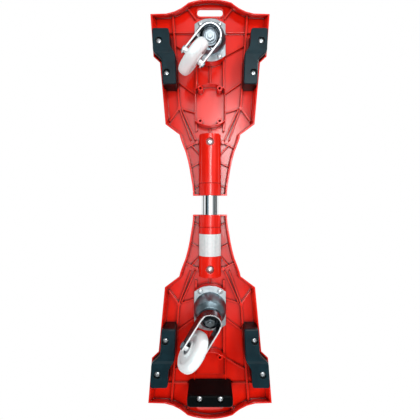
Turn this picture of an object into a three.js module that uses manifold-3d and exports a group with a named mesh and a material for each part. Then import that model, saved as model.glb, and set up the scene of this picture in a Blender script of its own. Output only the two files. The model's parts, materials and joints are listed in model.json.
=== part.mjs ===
// A two-wheeled caster board: two moulded decks joined by a torsion tube, each on one inclined caster.
// Millimetres, +Z up. The nose points to -Y and the tail to +Y. The wheels stand on z = 0.

import * as THREE from 'three';
import { mergeVertices } from 'three/addons/utils/BufferGeometryUtils.js';
import Module from 'manifold-3d';

const wasm = await Module();
wasm.setup();

// Fits and cuts
const seatGap = 0.3;
const overrun = 2;

// Deck mouldings
const deckLength = 411;
const deckHalfWidth = 119.2;
const deckGap = 39;
const plateThickness = 4;
const skirtDepth = 22;
const skirtWall = 3;
const rimHeight = 1;
const rimWidth = 11.5;
const deckEdgeRound = 2;
const skirtFlareShare = 0.045;
const skirtLeanShare = 0.0256;
const ribThickness = 2.4;
const longRibThickness = 3.6;
const ribDepth = 6;
const deepRibDepth = 9;
const slotCollarDepth = 2.5;

// Outline of one deck: stations are shares of its length, widths are shares of its half width
const neckFlareShares = [
  [0, 0.282], [0.034, 0.285], [0.095, 0.316], [0.156, 0.352], [0.217, 0.403], [0.275, 0.478], [0.3056, 0.503],
];
const deckSideShares = [[0.359, 0.738], [0.6727, 0.835], [0.7032, 0.943], [0.923, 1]];
const tailCurveShares = [[0.9258, 0.73], [0.9416, 0.554], [0.966, 0.428], [0.9818, 0.364]];

// Carrying slot, and the smooth arc where the stood-in field ends towards the neck
const slotSetback = 15;
const slotLength = 55;
const slotWidth = 18;
const slotCornerRadius = 6;
const slotWall = 3;
const fieldArcStation = 114.3;
const fieldArcRise = 40;
const fieldArcHalfChord = 80;

// Tube, torsion bar and the housing moulded into each deck's neck
const tubeDiameter = 35;
const tubeWall = 2.5;
const bushWall = 1.5;
const housingWall = 2.8;
const housingLength = 125;
const boreDepth = 90;
const tubeAxisHeight = 3;
const barDiameter = 12;
const barAnchorDepth = 30;
const clampBoltStation = 108;
const clampBoltHeadDiameter = 12.5;
const clampBoltHeadHeight = 3;
const clampBoltShankDiameter = 6;
const clampBoltRecessDiameter = 16.5;
const clampBoltRecessDepth = 6;
const collarStation = 25;
const collarGrooveWidth = 1.2;
const collarGrooveDepth = 0.7;
const neckPostRadius = 4;
const neckPostOffset = 27;
const neckPostStation = 113.5;

// Caster pads of a deck, and the caster plate that screws on to either
const innerPadClearance = 19;
const outerPadSetback = 88;
const casterPlateWidth = 64;
const casterPlateLength = 90;
const casterPlateThickness = 3;
const casterPlateEndRise = 12;
const screwPitchAcross = 40;
const screwPitchAlong = 68;
const padBossRadius = 6;
const padBossHeight = 19;
const padRimWidth = 1.6;

// Caster: the swivel axis leans back by casterRake, and lengths named Drop are measured down it
const casterRake = 20 * THREE.MathUtils.DEG2RAD;
const casterSwivel = 38 * THREE.MathUtils.DEG2RAD;
const headBaseRadius = 33;
const headShoulderRadius = 30.5;
const headShoulderDrop = 15.5;
const headLipRadius = 26;
const headLipDrop = 21.5;
const headEndRadius = 23.5;
const headDrop = 27;
const headWall = 2.6;
const swivelBearingInnerRadius = 8;
const swivelBearingOuterRadius = 19.5;
const swivelBearingHeight = 3.4;
const forkPlateThickness = 3;
const forkHalfWidth = 22.5;
const forkWall = 2.8;
const forkCupDepth = 15;
const forkArmHalfWidth = 8.5;
const forkArmShoulder = 8;
const forkArmNeck = 11;
const forkArmStartAngle = -70 * THREE.MathUtils.DEG2RAD;
const forkArmEndAngle = 50 * THREE.MathUtils.DEG2RAD;
const forkBossRadius = 6;
const raceHeight = 2.4;
const raceWidth = 5.6;
const wheelTrail = 51.5;
const wheelDrop = 68;
const kingpinDiameter = 10;
const kingpinHeadDiameter = 17;
const kingpinHeadHeight = 6;
const kingpinNutWidth = 17;
const kingpinNutHeight = 8;
const kingpinTip = 3;

// Wheel and its axle
const wheelDiameter = 76;
const wheelWidth = 23;
const wheelShoulderRadius = 9;
const hubHalfWidth = 13;
const hubRadius = 14.5;
const wheelRimRadius = 26;
const wheelDish = 3;
const bearingDiameter = 22;
const bearingWidth = 7;
const axleDiameter = 8;
const axleBore = 10;
const axleHeadWidth = 11;
const axleHeadHeight = 2.2;
const axleTip = 0.6;

// Side bumpers: an S in plan, its inner leg beside the narrow deck and its outer leg beside the wide deck.
// Places are [share of the deck's half width, share of its length]
const bumperProud = 13;
const bumperStep = 2.5;
const bumperStepShares = [0.7, 0.718];
const bumperInnerEdgeShares = [[0.566, 0.55], [0.588, 0.7], [0.686, 0.744], [0.708, 0.832]];
const bumperOuterEdgeShares = [[0.807, 0.55], [0.827, 0.674], [0.975, 0.7153], [0.995, 0.832]];
const bumperScrewShares = { inner: [0.744, 0.6083], outer: [0.88, 0.7713] };
const bumperCornerRadius = 4;
const bumperEdgeRound = 2;
const bumperBossRadius = 6;
const bumperBossDepth = 12;

// Tail block under the rear deck
const tailBlockSetback = 67.5;
const tailBlockLength = 22;
const tailBlockWidth = 88;
const tailBlockProud = 35;
const tailBlockRound = 6;
const tailScrewPitch = 40;
const tailScrewSetback = 7.5;

// Screws
const screwCrownShares = [[0.5, 0.95], [0.85, 0.5], [1, 0]];
const casterScrewHeadDiameter = 11.5;
const screwHeadHeight = 3;
const screwShankDiameter = 4.8;
const casterScrewLength = 16;
const bumperScrewLength = 27;
const tailScrewLength = 48;
const countersinkDiameter = 14;
const countersinkDepth = 5;

// Stickers and label
const stickerThickness = 0.5;
const stickerPocketDepth = 0.9;
const ovalSticker = { middleShare: 0.445, lengthShare: 0.681, widthShare: 0.5245 };
const neckStickerWideEnd = { station: 107.2, inner: 7.8, outer: 38 };
const neckStickerNarrowEnd = { station: 14.1, inner: 7.3, outer: 19.7 };
const neckStickerSlope = 4;
const labelStart = 38.5;
const labelEnd = 82.5;
const labelHalfAngle = 70 * THREE.MathUtils.DEG2RAD;

// Facets
const roundSegments = 24;
const boltSegments = 12;
const wheelSegments = 36;
const screwSegments = 8;
const outlineSegments = 9;
const arcSegments = 4;
const cornerSegments = 3;
const weldDistance = 1e-4;

// Worked out from the sizes above
const rimTop = skirtDepth + plateThickness + rimHeight;
const fieldTop = skirtDepth + plateThickness;
const topLength = deckLength * (1 + skirtLeanShare);
const undersideLength = deckLength * (1 + (skirtLeanShare * skirtDepth) / rimTop);
const tubeRadius = tubeDiameter / 2;
const boreRadius = tubeRadius + bushWall + 2 * seatGap;
const housingRadius = boreRadius + housingWall;
const neckEndOffset = deckGap / 2;
const innerPadStation = housingLength + innerPadClearance + casterPlateLength / 2;
const outerPadStation = deckLength - outerPadSetback;
const slotStation = deckLength - slotSetback;
const fieldLength = deckLength - fieldArcStation;
const wheelRadius = wheelDiameter / 2;
const forkPlateDrop = headDrop + swivelBearingHeight + 2 * seatGap;
const holeRadius = screwShankDiameter / 2 + seatGap;
const axleHoleRadius = axleDiameter / 2 + seatGap;
const kingpinHoleRadius = kingpinDiameter / 2 + seatGap;
const casterPlateStack = casterPlateThickness + seatGap;

// Height of the caster pads above the floor: the lower edge of the leaning wheel stands on it
function casterHeight() {
  const axleTilt = Math.sin(casterSwivel) * Math.sin(casterRake);
  const rimReach = (wheelRadius - wheelShoulderRadius) * Math.sqrt(1 - axleTilt ** 2);
  const edgeReach = (wheelWidth / 2 - wheelShoulderRadius) * axleTilt;
  const hubDrop = wheelDrop * Math.cos(casterRake);
  const hubLift = wheelTrail * Math.cos(casterSwivel) * Math.sin(casterRake);
  return rimReach + edgeReach + wheelShoulderRadius + hubDrop - hubLift;
}

const padHeight = casterHeight() + casterPlateStack;

// Materials
const finish = (color, roughness, metalness) =>
  new THREE.MeshStandardMaterial({ color, roughness, metalness });
const redPlastic = finish(0xd9160f, 0.35, 0);
const blackRubber = finish(0x17191b, 0.65, 0);
const blackNylon = finish(0x202020, 0.5, 0);
const zincSteel = finish(0xc9ced2, 0.35, 0.9);
const greySteel = finish(0x7d858b, 0.4, 0.9);
const chromeSteel = finish(0xd5d9dc, 0.15, 1);
const whiteUrethane = finish(0xeef0ec, 0.4, 0);
const orangeVinyl = finish(0xf0871c, 0.4, 0);
const darkVinyl = finish(0x2a1a12, 0.4, 0);
const whiteVinyl = finish(0xe4e6e4, 0.5, 0);

// Turning three.js geometry into closed solids and back
const quarterTurn = Math.PI / 2;
const quarterTurnDegrees = 90;

function solidFrom(geometry) {
  const bare = new THREE.BufferGeometry();
  bare.setAttribute('position', geometry.attributes.position.clone());
  if (geometry.index) bare.setIndex(geometry.index.clone());
  const merged = mergeVertices(bare, weldDistance);
  const corners = merged.index.array;
  const faces = [];
  for (let i = 0; i < corners.length; i += 3) {
    const [a, b, c] = [corners[i], corners[i + 1], corners[i + 2]];
    if (a !== b && b !== c && c !== a) faces.push(a, b, c);
  }
  const vertProperties = new Float32Array(merged.attributes.position.array);
  const closed = (triVerts) => new wasm.Manifold(new wasm.Mesh({ numProp: 3, vertProperties, triVerts }));
  const solid = closed(new Uint32Array(faces));
  return solid.volume() > 0 ? solid : closed(new Uint32Array(faces.reverse()));
}

function geometryFrom(solid) {
  const mesh = solid.getMesh();
  const geometry = new THREE.BufferGeometry();
  const positions = new Float32Array(mesh.numVert * 3);
  for (let i = 0; i < mesh.numVert; i += 1) {
    for (let axis = 0; axis < 3; axis += 1) positions[3 * i + axis] = mesh.vertProperties[mesh.numProp * i + axis];
  }
  geometry.setAttribute('position', new THREE.BufferAttribute(positions, 3));
  geometry.setIndex(new THREE.BufferAttribute(new Uint32Array(mesh.triVerts), 1));
  geometry.computeVertexNormals();
  return geometry;
}

function piece(name, solid, material) {
  const mesh = new THREE.Mesh(geometryFrom(solid), material);
  mesh.name = name;
  return mesh;
}

// Plain shapes: upright plates, bars along x or y, turned pieces and blocks
function plate(points, bottom, top) {
  const shape = new THREE.Shape(points);
  const geometry = new THREE.ExtrudeGeometry(shape, { depth: top - bottom, bevelEnabled: false });
  return solidFrom(geometry.translate(0, 0, bottom));
}

function roundedPlate(points, bottom, top, round) {
  const shape = new THREE.Shape(points);
  const bevel = { bevelThickness: round, bevelSize: round, bevelOffset: -round, bevelSegments: 1 };
  const geometry = new THREE.ExtrudeGeometry(shape, { depth: top - bottom - 2 * round, ...bevel });
  return solidFrom(geometry.translate(0, 0, bottom + round));
}

function block(x, y, z) {
  const size = [x[1] - x[0], y[1] - y[0], z[1] - z[0]];
  const middle = [(x[0] + x[1]) / 2, (y[0] + y[1]) / 2, (z[0] + z[1]) / 2];
  return solidFrom(new THREE.BoxGeometry(...size).translate(...middle));
}

function rod(radius, bottom, top, segments = roundSegments) {
  const geometry = new THREE.CylinderGeometry(radius, radius, top - bottom, segments);
  return solidFrom(geometry.rotateX(quarterTurn).translate(0, 0, (bottom + top) / 2));
}

function cone(bottomRadius, topRadius, bottom, top, segments = roundSegments) {
  const geometry = new THREE.CylinderGeometry(topRadius, bottomRadius, top - bottom, segments);
  return solidFrom(geometry.rotateX(quarterTurn).translate(0, 0, (bottom + top) / 2));
}

function rodAlongY(radius, start, end, height, segments = roundSegments) {
  const geometry = new THREE.CylinderGeometry(radius, radius, end - start, segments);
  return solidFrom(geometry.translate(0, (start + end) / 2, height));
}

function rodAlongX(radius, start, end, segments = roundSegments) {
  const geometry = new THREE.CylinderGeometry(radius, radius, end - start, segments);
  return solidFrom(geometry.rotateZ(quarterTurn).translate((start + end) / 2, 0, 0));
}

// A turned piece about the z axis: the profile is a closed list of [radius, height]
function turned(profile, segments = roundSegments) {
  const points = profile.map(([radius, height]) => new THREE.Vector2(radius, height));
  return solidFrom(new THREE.LatheGeometry([...points, points[0]], segments).rotateX(quarterTurn));
}

// Rings of equally many points joined into one closed skin, capped at both ends
function lofted(rings) {
  const count = rings[0].length;
  const positions = rings.flat().flatMap((point) => point.toArray());
  const faces = [];
  for (let ring = 0; ring + 1 < rings.length; ring += 1) {
    for (let i = 0; i < count; i += 1) {
      const [a, b] = [ring * count + i, ring * count + ((i + 1) % count)];
      faces.push(a, b, b + count, a, b + count, a + count);
    }
  }
  const last = (rings.length - 1) * count;
  for (let i = 1; i + 1 < count; i += 1) faces.push(0, i + 1, i, last, last + i, last + i + 1);
  const geometry = new THREE.BufferGeometry();
  geometry.setAttribute('position', new THREE.Float32BufferAttribute(positions, 3));
  geometry.setIndex(faces);
  return solidFrom(geometry);
}

const point = (x, y) => new THREE.Vector2(x, y);
const cut = (solid, ...tools) => tools.reduce((left, tool) => left.subtract(tool), solid);
const join = (solid, ...others) => others.reduce((left, other) => left.add(other), solid);

function arcPoints(centreX, centreY, radius, from, to, steps) {
  return Array.from({ length: steps + 1 }, (_, i) => {
    const angle = from + ((to - from) * i) / steps;
    return point(centreX + radius * Math.cos(angle), centreY + radius * Math.sin(angle));
  });
}

function roundedRectangle(width, length, radius, centreY = 0) {
  const [x, y] = [width / 2 - radius, length / 2 - radius];
  const corners = [[x, y, 0], [-x, y, 1], [-x, -y, 2], [x, -y, 3]];
  const cornerPoints = ([cx, cy, turn]) =>
    arcPoints(cx, centreY + cy, radius, turn * quarterTurn, (turn + 1) * quarterTurn, cornerSegments);
  return corners.flatMap(cornerPoints);
}

// Corners of an outline cut back to short curves
function rounded(corners, radius) {
  const count = corners.length;
  return corners.flatMap((corner, i) => {
    const before = corners[(i + count - 1) % count];
    const after = corners[(i + 1) % count];
    const reach = (other) => corner.clone().lerp(other, Math.min(radius / corner.distanceTo(other), 1 / 2));
    return new THREE.QuadraticBezierCurve(reach(before), corner, reach(after)).getPoints(cornerSegments - 1);
  });
}

// An outline moved inwards by the same distance all round
function inset(points, distance) {
  const count = points.length;
  return points.map((corner, i) => {
    const along = corner.clone().sub(points[(i + count - 1) % count]).normalize();
    const onward = points[(i + 1) % count].clone().sub(corner).normalize();
    const onwardNormal = point(-onward.y, onward.x);
    const mitre = point(-along.y, along.x).add(onwardNormal).normalize();
    return corner.clone().addScaledVector(mitre, distance / mitre.dot(onwardNormal));
  });
}

// One deck, drawn with its neck end at y = 0, its outer end at y = deckLength and its pads facing down at z = 0
function smoothShares(shares, steps) {
  const curve = new THREE.SplineCurve(shares.map(([station, width]) => point(width, station)));
  return curve.getPoints(steps);
}

function deckOutline() {
  const end = tailCurveShares.at(-1);
  const rise = deckLength * (1 - end[0]);
  const halfChord = deckHalfWidth * end[1];
  const endRadius = (halfChord ** 2 + rise ** 2) / (2 * rise);
  const halfAngle = Math.asin(halfChord / endRadius);
  const side = [
    ...smoothShares(neckFlareShares, outlineSegments),
    ...deckSideShares.map(([station, width]) => point(width, station)),
    ...smoothShares(tailCurveShares, arcSegments),
  ].map((share) => point(share.x * deckHalfWidth, share.y * deckLength));
  const endArc = arcPoints(
    0, deckLength - endRadius, endRadius, quarterTurn - halfAngle, quarterTurn + halfAngle, 2 * arcSegments,
  ).slice(1, -1);
  const otherSide = side.map((corner) => point(-corner.x, corner.y)).reverse();
  return [...side, ...endArc, ...otherSide];
}

const outline = deckOutline();

// The skirt flares sideways towards its lower edge, and its far end leans inwards there
function flareAt(height) {
  return {
    across: 1 + (skirtFlareShare * (rimTop - height)) / rimTop,
    along: 1 + (skirtLeanShare * height) / rimTop,
  };
}

function flared(solid) {
  return solid.warp((corner) => {
    const { across, along } = flareAt(corner[2]);
    corner[0] *= across;
    corner[1] *= along;
  });
}

// An upright rib between two places of [x, station], hanging from the deck plate
function rib(from, to, depth = ribDepth, thickness = ribThickness) {
  const [start, end] = [point(...from), point(...to)];
  const across = end.clone().sub(start).normalize().rotateAround(point(0, 0), quarterTurn);
  across.multiplyScalar(thickness / 2);
  const corners = [
    start.clone().add(across), start.clone().sub(across), end.clone().sub(across), end.clone().add(across),
  ];
  return plate(corners, skirtDepth - depth, skirtDepth + plateThickness / 2);
}

function mirrored(makeRib) {
  return [1, -1].map((side) => makeRib(side));
}

// Where ribs start and end, as shares of the half width and length of the deck's underside
const ribShares = {
  innerLong: [[0.243, 0.326], [0.243, 0.72]],
  outerLong: [[0.545, 0.445], [0.671, 0.937]],
  cross: [[0.25, 0.835], [0.9, 0.835]],
  padToOuter: [[0.26, 0.516], [0.56, 0.577]],
  outerToPad: [[0.26, 0.713], [0.604, 0.766]],
  postToPad: [[0.26, 0.421], [0.545, 0.445]],
  postToCorner: [[0.545, 0.445], [0.721, 0.377]],
  postToHousingOuter: [[0.545, 0.445], [0.335, 0.28]],
  postToHousingInner: [[0.5, 0.437], [0.255, 0.28]],
  slotCorner: [[0.26, 0.905], [0.43, 0.975]],
  neckFar: [[0.15, 0.281], [0.45, 0.238]],
  neckBrace: [[0.14, 0.195], [0.32, 0.253]],
  neckMiddle: [[0.14, 0.173], [0.37, 0.14]],
  neckShort: [[0.14, 0.058], [0.33, 0.036]],
};
const longRibs = ['innerLong', 'outerLong'];
const deepRibs = [
  ...longRibs, 'postToHousingOuter', 'postToHousingInner', 'postToCorner',
  'neckFar', 'neckBrace', 'neckMiddle', 'neckShort',
];
const ribPostShare = [0.545, 0.445];
const ribPostRadius = 4;

function deckRibs() {
  const place = ([x, y], side) => [side * x * deckHalfWidth, y * undersideLength];
  const ribs = Object.entries(ribShares).flatMap(([name, [from, to]]) => {
    const depth = deepRibs.includes(name) ? deepRibDepth : ribDepth;
    const thickness = longRibs.includes(name) ? longRibThickness : ribThickness;
    return mirrored((side) => rib(place(from, side), place(to, side), depth, thickness));
  });
  const posts = mirrored((side) => {
    const [x, y] = place(ribPostShare, side);
    return rod(ribPostRadius, skirtDepth - deepRibDepth, skirtDepth + plateThickness / 2, screwSegments)
      .translate([x, y, 0]);
  });
  const neckPosts = mirrored((side) => (
    rod(neckPostRadius, skirtDepth - deepRibDepth, skirtDepth + plateThickness / 2, screwSegments)
      .translate([side * neckPostOffset, neckPostStation, 0])
  ));
  const padReach = casterPlateLength / 2 - overrun;
  const centreWeb = rib([0, housingLength - overrun], [0, innerPadStation - padReach]);
  const middleWeb = rib([0, innerPadStation + padReach], [0, outerPadStation - padReach]);
  return [...ribs, ...posts, ...neckPosts, centreWeb, middleWeb];
}

// Plan of a caster plate and of the pad that it sits on: straight sides and arched ends
function casterPlatePlan(station = 0, margin = 0) {
  const halfWidth = casterPlateWidth / 2 + margin;
  const halfLength = casterPlateLength / 2 + margin;
  const radius = (halfWidth ** 2 + casterPlateEndRise ** 2) / (2 * casterPlateEndRise);
  const halfAngle = Math.asin(halfWidth / radius);
  const centre = halfLength - radius;
  const from = quarterTurn - halfAngle;
  const endArc = (middle, start) => arcPoints(0, middle, radius, start, start + 2 * halfAngle, arcSegments + 2);
  return [...endArc(station + centre, from), ...endArc(station - centre, from + Math.PI)];
}

const screwCorners = [[1, 1], [-1, 1], [-1, -1], [1, -1]].map(
  ([x, y]) => [(x * screwPitchAcross) / 2, (y * screwPitchAlong) / 2],
);

function casterPad(station) {
  const bosses = screwCorners.map(([x, y]) => (
    rod(padBossRadius, -2 * overrun, padBossHeight + overrun, boltSegments).translate([x, station + y, 0])
  ));
  const recess = cut(plate(inset(casterPlatePlan(station), padRimWidth), -overrun, padBossHeight), ...bosses);
  const face = cut(plate(casterPlatePlan(station), 0, skirtDepth + plateThickness / 2), recess);
  const holes = screwCorners.map(([x, y]) => (
    rod(holeRadius, -overrun, skirtDepth - overrun, screwSegments).translate([x, station + y, 0])
  ));
  return { face, recess, holes };
}

// The tube housing under the neck, with its bores, the clamp bolt's recess and the collar groove
function housingBody() {
  const round = rodAlongY(housingRadius, 0, housingLength, tubeAxisHeight);
  const shoulder = block(
    [-housingRadius, housingRadius], [0, housingLength], [tubeAxisHeight, skirtDepth + plateThickness / 2],
  );
  const grooveStart = collarStation - collarGrooveWidth / 2;
  const ringRadius = housingRadius + overrun;
  const groove = cut(
    rodAlongY(ringRadius, grooveStart, grooveStart + collarGrooveWidth, tubeAxisHeight),
    rodAlongY(housingRadius - collarGrooveDepth, grooveStart - overrun, collarStation + overrun, tubeAxisHeight),
    block(
      [-ringRadius, ringRadius], [grooveStart - overrun, collarStation + overrun],
      [tubeAxisHeight, tubeAxisHeight + ringRadius],
    ),
  );
  return cut(join(round, shoulder), groove);
}

function housingBores() {
  const bottom = tubeAxisHeight - housingRadius;
  const bore = rodAlongY(boreRadius, -overrun, boreDepth, tubeAxisHeight);
  const barBore = rodAlongY(
    barDiameter / 2 + seatGap, boreDepth - overrun, boreDepth + barAnchorDepth, tubeAxisHeight, boltSegments,
  );
  const recess = rod(clampBoltRecessDiameter / 2, bottom - overrun, bottom + clampBoltRecessDepth, boltSegments);
  const shankHole = rod(clampBoltShankDiameter / 2 + seatGap, bottom, tubeAxisHeight, screwSegments);
  const boltWay = join(recess, shankHole).translate([0, clampBoltStation, 0]);
  return [bore, barBore, boltWay];
}

const deckPlace = ([x, y]) => point(x * deckHalfWidth, y * deckLength);

// Plan of a bumper: a straight inner leg, a slanting bend and a straight outer leg, on the +x side
function bumperPlan(margin = 0) {
  const corners = [...bumperOuterEdgeShares, ...bumperInnerEdgeShares.toReversed()].map(deckPlace);
  return inset(rounded(corners, bumperCornerRadius), -margin);
}

function mirroredAcross(solid, side) {
  return side > 0 ? solid : solid.mirror([1, 0, 0]);
}

const bumperScrewPlaces = Object.entries(bumperScrewShares).map(([leg, share]) => [leg, deckPlace(share)]);

function bumperBosses(radius, bottom, top) {
  return bumperScrewPlaces.map(([, place]) => (
    rod(radius, bottom, top, boltSegments).translate([place.x, place.y, 0])
  ));
}

const tailBlockStation = deckLength - tailBlockSetback;
const tailBlockMiddle = tailBlockStation + tailBlockLength / 2;
const tailScrewStation = tailBlockStation + tailScrewSetback;
const tailScrewSeat = countersinkDepth - tailBlockProud;

function tailBlockPlan(margin = 0) {
  return roundedRectangle(
    tailBlockWidth + 2 * margin, tailBlockLength + 2 * margin, tailBlockRound + margin, tailBlockMiddle,
  );
}

// Sticker outlines on the deck's top
function ellipsePlan(length, width, station) {
  return Array.from({ length: wheelSegments }, (_, i) => {
    const angle = (2 * Math.PI * i) / wheelSegments;
    return point((width / 2) * Math.cos(angle), station + (length / 2) * Math.sin(angle));
  });
}

function neckStickerPlan(margin = 0) {
  const [wide, narrow] = [neckStickerWideEnd, neckStickerNarrowEnd];
  const corners = [
    point(narrow.inner, narrow.station), point(narrow.outer, narrow.station),
    point(wide.outer, wide.station), point(wide.inner, wide.station - neckStickerSlope),
  ];
  return inset(corners, -margin);
}

const neckPocketBottom = rimTop - stickerPocketDepth;

// The plate, skirt, ribs, pads and housing of one deck
function deckBoard(withTailBlock) {
  const wholeWidth = [-2 * deckHalfWidth, 2 * deckHalfWidth];
  const shell = flared(roundedPlate(outline, -deckEdgeRound, rimTop, deckEdgeRound))
    .intersect(block(wholeWidth, [-overrun, topLength + overrun], [0, rimTop + overrun]));
  const cavity = flared(plate(inset(outline, skirtWall), -overrun, skirtDepth));
  const inside = flared(plate(inset(outline, skirtWall / 2), -overrun, rimTop));

  const slotPlan = roundedRectangle(slotLength, slotWidth, slotCornerRadius, slotStation);
  const slotCollarPlan = inset(slotPlan, -slotWall);
  const slotCollar = plate(slotCollarPlan, skirtDepth - slotCollarDepth, fieldTop);
  const slot = plate(slotPlan, -overrun, rimTop + overrun);

  const pads = [innerPadStation, outerPadStation].map(casterPad);
  const ribs = cut(join(...deckRibs()), ...pads.map((pad) => pad.recess));
  const framework = join(slotCollar, ribs, ...pads.map((pad) => pad.face)).intersect(inside);
  const neckEndWall = block(wholeWidth, [0, skirtWall], [0, skirtDepth + plateThickness / 2]).intersect(inside);
  let deck = join(cut(shell, cavity), framework, neckEndWall, housingBody());

  const arcRadius = (fieldArcHalfChord ** 2 + fieldArcRise ** 2) / (2 * fieldArcRise);
  const fieldEnd = join(
    rod(arcRadius, fieldTop - overrun, rimTop + overrun, wheelSegments)
      .translate([0, fieldArcStation + arcRadius, 0]),
    block(wholeWidth, [fieldArcStation + fieldArcRise, topLength], [fieldTop - overrun, rimTop + overrun]),
  );
  const { across, along } = flareAt(rimTop);
  const fieldPlan = inset(outline, rimWidth).map(({ x, y }) => point(x * across, y * along));
  const field = plate(fieldPlan, fieldTop, rimTop + overrun).intersect(fieldEnd);
  const neckPockets = [1, -1].map((side) => (
    mirroredAcross(plate(neckStickerPlan(seatGap), neckPocketBottom, rimTop + overrun), side)
  ));

  const bumperRoom = flared(plate(inset(outline, skirtWall + seatGap), -overrun, skirtDepth));
  const bumperBody = plate(bumperPlan(seatGap), -overrun, skirtDepth).intersect(bumperRoom);
  const bosses = join(...bumperBosses(bumperBossRadius, skirtDepth - bumperBossDepth, skirtDepth + plateThickness / 2));
  const bossHoles = bumperBosses(holeRadius, -overrun, skirtDepth - overrun / 2);
  deck = cut(deck, ...[1, -1].map((side) => mirroredAcross(bumperBody, side)));
  deck = join(deck, ...[1, -1].map((side) => mirroredAcross(bosses, side)));
  deck = cut(deck, ...[1, -1].flatMap((side) => bossHoles.map((hole) => mirroredAcross(hole, side))));

  if (withTailBlock) {
    deck = cut(deck, plate(tailBlockPlan(seatGap), -overrun, skirtDepth));
    deck = join(deck, ...tailScrewRods(bumperBossRadius, skirtDepth - bumperBossDepth, skirtDepth + plateThickness / 2));
    deck = cut(deck, ...tailScrewRods(holeRadius, -overrun, skirtDepth - overrun / 2));
  }
  return cut(deck, field, slot, ...neckPockets, ...pads.flatMap((pad) => pad.holes), ...housingBores());
}

function tailScrewRods(radius, bottom, top) {
  return mirrored((side) => (
    rod(radius, bottom, top, boltSegments).translate([(side * tailScrewPitch) / 2, tailScrewStation, 0])
  ));
}

// What the tread of a bumper's outer leg lacks beside the inner leg's, with the slope at the bend
function bumperStepRoom() {
  const [crest, foot] = bumperStepShares.map((share) => share * deckLength);
  const low = -bumperProud - bumperStep;
  const profile = [
    point(crest, low - overrun), point(deckLength, low - overrun), point(deckLength, -bumperProud),
    point(foot, -bumperProud), point(crest, low),
  ];
  return plate(profile, 0, 2 * deckHalfWidth).rotate([quarterTurnDegrees, 0, quarterTurnDegrees]);
}

// A bumper: its foot fills the skirt, its tread stands proud of the skirt's edge
function bumper(side) {
  const treadPlan = bumperPlan();
  const treadBottom = -bumperProud - bumperStep;
  const tread = roundedPlate(treadPlan, treadBottom, -seatGap + bumperEdgeRound, bumperEdgeRound)
    .intersect(plate(treadPlan, treadBottom - overrun, -seatGap));
  const foot = plate(treadPlan, -seatGap - overrun, skirtDepth - seatGap)
    .intersect(flared(plate(inset(outline, skirtWall + 2 * seatGap), -bumperProud, skirtDepth)));
  const bossRoom = bumperBosses(
    bumperBossRadius + seatGap, skirtDepth - bumperBossDepth - seatGap, skirtDepth + overrun,
  );
  const screwWays = bumperBosses(holeRadius, treadBottom - overrun, skirtDepth);
  const sinks = bumperBosses(countersinkDiameter / 2, treadBottom - overrun, countersinkDepth - bumperProud);
  return mirroredAcross(cut(join(tread, foot), bumperStepRoom(), ...bossRoom, ...screwWays, ...sinks), side);
}

function tailBlock() {
  const body = roundedPlate(
    tailBlockPlan(), -tailBlockProud, skirtDepth - seatGap + bumperEdgeRound, bumperEdgeRound,
  ).intersect(plate(tailBlockPlan(), -tailBlockProud, skirtDepth - seatGap));
  return cut(
    body,
    ...tailScrewRods(bumperBossRadius + seatGap, skirtDepth - bumperBossDepth - seatGap, skirtDepth + overrun),
    ...tailScrewRods(holeRadius, -tailBlockProud - overrun, skirtDepth),
    ...tailScrewRods(countersinkDiameter / 2, -tailBlockProud - overrun, tailScrewSeat),
  );
}

// A domed screw seen from below: its seat faces up at z = 0 and its shank points up
function screw(headDiameter, headHeight, shankDiameter, length) {
  const crown = screwCrownShares.map(([radius, height]) => [(radius * headDiameter) / 2, -height * headHeight]);
  return turned([
    [0, -headHeight], ...crown,
    [shankDiameter / 2, 0], [shankDiameter / 2, length - shankDiameter / 2], [0, length],
  ], screwSegments);
}

// Torsion tube, its sleeves and the bar, drawn about the tube's axis at z = 0
const tubeReach = neckEndOffset + boreDepth - seatGap;
const barReach = neckEndOffset + boreDepth + barAnchorDepth - 2 * seatGap;

const torsionTube = () => cut(
  rodAlongY(tubeRadius, -tubeReach, tubeReach, 0),
  rodAlongY(tubeRadius - tubeWall, -tubeReach - overrun, tubeReach + overrun, 0),
);

const tubeSleeve = (side) => {
  const [near, far] = [neckEndOffset, tubeReach].map((reach) => side * reach);
  const [start, end] = [Math.min(near, far), Math.max(near, far)];
  return cut(
    rodAlongY(tubeRadius + seatGap + bushWall, start, end, 0),
    rodAlongY(tubeRadius + seatGap, start - overrun, end + overrun, 0),
  );
};

const clampBolt = () => screw(
  clampBoltHeadDiameter, clampBoltHeadHeight, clampBoltShankDiameter,
  housingRadius - clampBoltRecessDepth - barDiameter / 2 - 2 * seatGap,
);

// The label is a thin band that follows the round underside of the housing
function housingLabel() {
  const inner = housingRadius + seatGap;
  const band = [
    ...arcPoints(0, tubeAxisHeight, inner + stickerThickness, -quarterTurn - labelHalfAngle,
      -quarterTurn + labelHalfAngle, outlineSegments),
    ...arcPoints(0, tubeAxisHeight, inner, -quarterTurn + labelHalfAngle,
      -quarterTurn - labelHalfAngle, outlineSegments),
  ];
  const shape = new THREE.Shape(band);
  const geometry = new THREE.ExtrudeGeometry(shape, { depth: labelEnd - labelStart, bevelEnabled: false });
  return solidFrom(geometry.rotateX(quarterTurn).translate(0, labelEnd, 0));
}

// Caster pieces. Each is drawn about the swivel axis, with z = -drop down the axis and the wheel trailing to +y,
// except the plate and the head, which are drawn level with the deck
function casterPlate() {
  const top = -seatGap;
  const holes = screwCorners.map(([x, y]) => (
    rod(holeRadius, top - casterPlateThickness - overrun, top + overrun, screwSegments).translate([x, y, 0])
  ));
  return cut(plate(casterPlatePlan(), top - casterPlateThickness, top), ...holes);
}

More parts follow.
